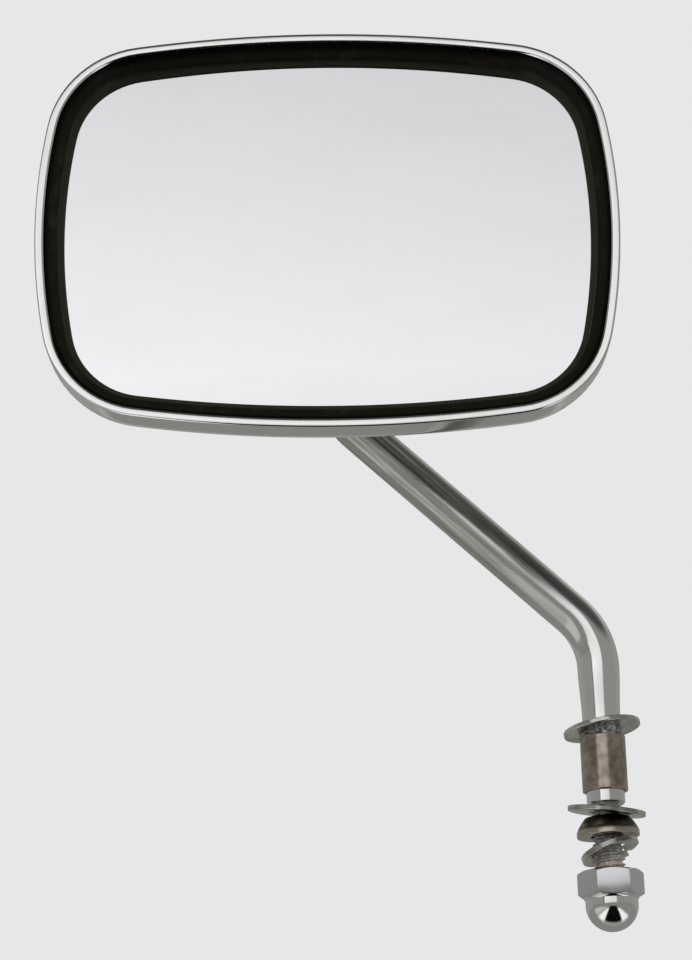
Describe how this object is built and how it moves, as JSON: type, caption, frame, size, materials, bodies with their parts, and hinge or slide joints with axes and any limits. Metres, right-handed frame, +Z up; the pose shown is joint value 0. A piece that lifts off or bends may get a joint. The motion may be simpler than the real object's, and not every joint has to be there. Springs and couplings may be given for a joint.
{
  "type": "motorcycle mirror",
  "caption": "Bow-sided rectangular motorcycle mirror in a chromed dish with a wide rubber gasket, on a ball joint and a bent chromed rod with a threaded end and loose hardware.",
  "frame": {"origin": "on the axis of the threaded end, at the shoulder where the shank's turned end meets the thread", "axes": "+Z up along the threaded end towards the rod, the glass faces -Y, and the head is on the -X side"},
  "size_m": [0.1455, 0.0586, 0.2195],
  "materials": {
    "chrome_plate": "bright chrome plate on steel",
    "black_rubber": "moulded, satin, slightly dusty",
    "silvered_glass": "plain silvered glass",
    "grey_foam": "open foam",
    "white_nylon": "moulded nylon, greased",
    "bare_steel": "turned, oiled",
    "spring_steel": "hardened and oiled",
    "zinc_plate": "zinc plate",
    "brown_steel": "dull brown, oiled",
    "dark_steel": "dark brown, oiled"
  },
  "bodies": {
    "stem": {"stem": "chrome_plate", "upper_washer": "zinc_plate", "sleeve_spacer": "brown_steel", "lower_washer": "zinc_plate", "cone_spacer": "dark_steel", "lock_washer": "zinc_plate", "dome_nut": "chrome_plate"},
    "yaw_seat": {"rear_seat": "white_nylon"},
    "pitch_seat": {"front_seat": "white_nylon"},
    "head": {"shell": "chrome_plate", "gasket": "black_rubber", "mirror_glass": "silvered_glass", "backing_pad": "grey_foam", "ball_socket": "chrome_plate", "pressure_cup": "bare_steel", "disc_spring": "spring_steel", "strap": "zinc_plate", "strap_posts": "bare_steel", "strap_screws": "zinc_plate", "screw_washers": "zinc_plate"}
  },
  "joints": [
    {"name": "head_yaw", "type": "hinge", "parent": "stem", "child": "yaw_seat", "pos_m": [-0.06415, -0.025, 0.1365], "axis": [0, 0, 1], "range_deg": [-15, 15]},
    {"name": "head_pitch", "type": "hinge", "parent": "yaw_seat", "child": "pitch_seat", "pos_m": [-0.06415, -0.025, 0.1365], "axis": [1, 0, 0], "range_deg": [-12, 12]},
    {"name": "head_spin", "type": "hinge", "parent": "pitch_seat", "child": "head", "pos_m": [-0.06415, -0.025, 0.1365], "axis": [0, 1, 0], "continuous": true}
  ]
}
